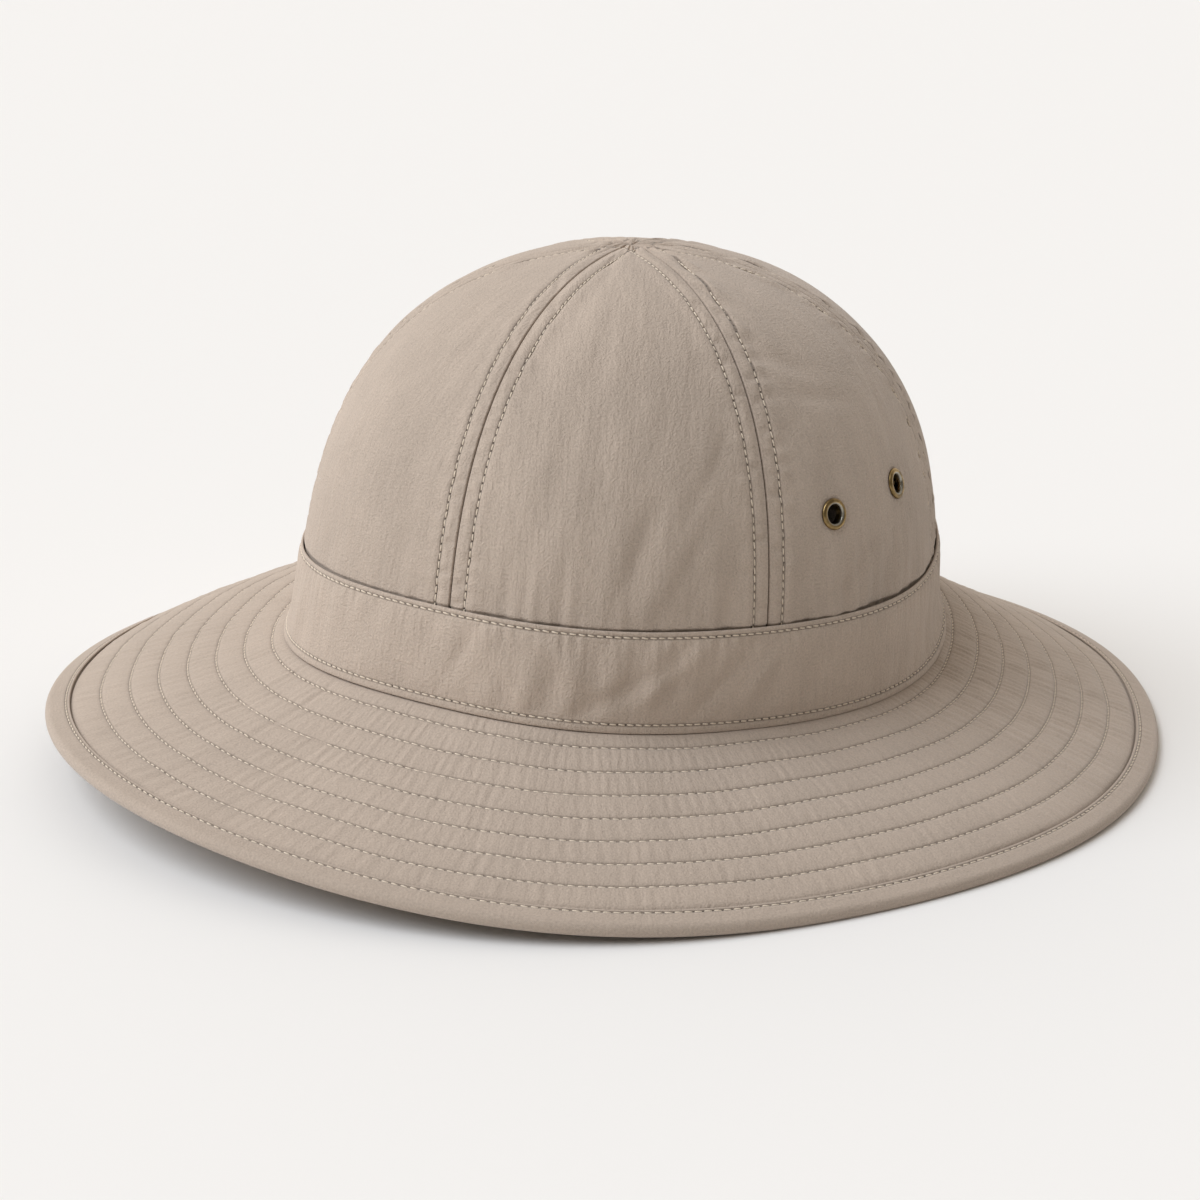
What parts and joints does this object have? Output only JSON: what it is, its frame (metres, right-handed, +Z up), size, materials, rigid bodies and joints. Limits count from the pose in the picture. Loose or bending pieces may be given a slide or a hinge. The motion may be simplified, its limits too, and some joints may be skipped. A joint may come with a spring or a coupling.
{
  "type": "wide-brim hat",
  "caption": "Cloth sun hat with a gored crown, a band at its foot, a downward-sloping stitched brim with a bound edge, and brass ventilation eyelets in its sides.",
  "frame": {"origin": "on the floor that the brim rests on, under the middle of the hat", "axes": "+Z up through the crown, -Y towards the front of the hat, +X towards the wearer's left"},
  "size_m": [0.3034, 0.3262, 0.1352],
  "materials": {
    "cloth": "matt woven cotton",
    "brass": "aged, half gloss"
  },
  "bodies": {
    "root": {"crown_panel_1": "cloth", "crown_panel_2": "cloth", "crown_panel_3": "cloth", "crown_panel_4": "cloth", "crown_panel_5": "cloth", "crown_panel_6": "cloth", "band": "cloth", "brim": "cloth", "brim_binding": "cloth", "eyelet_left_front": "brass", "eyelet_left_back": "brass", "eyelet_right_front": "brass", "eyelet_right_back": "brass"}
  },
  "joints": []
}
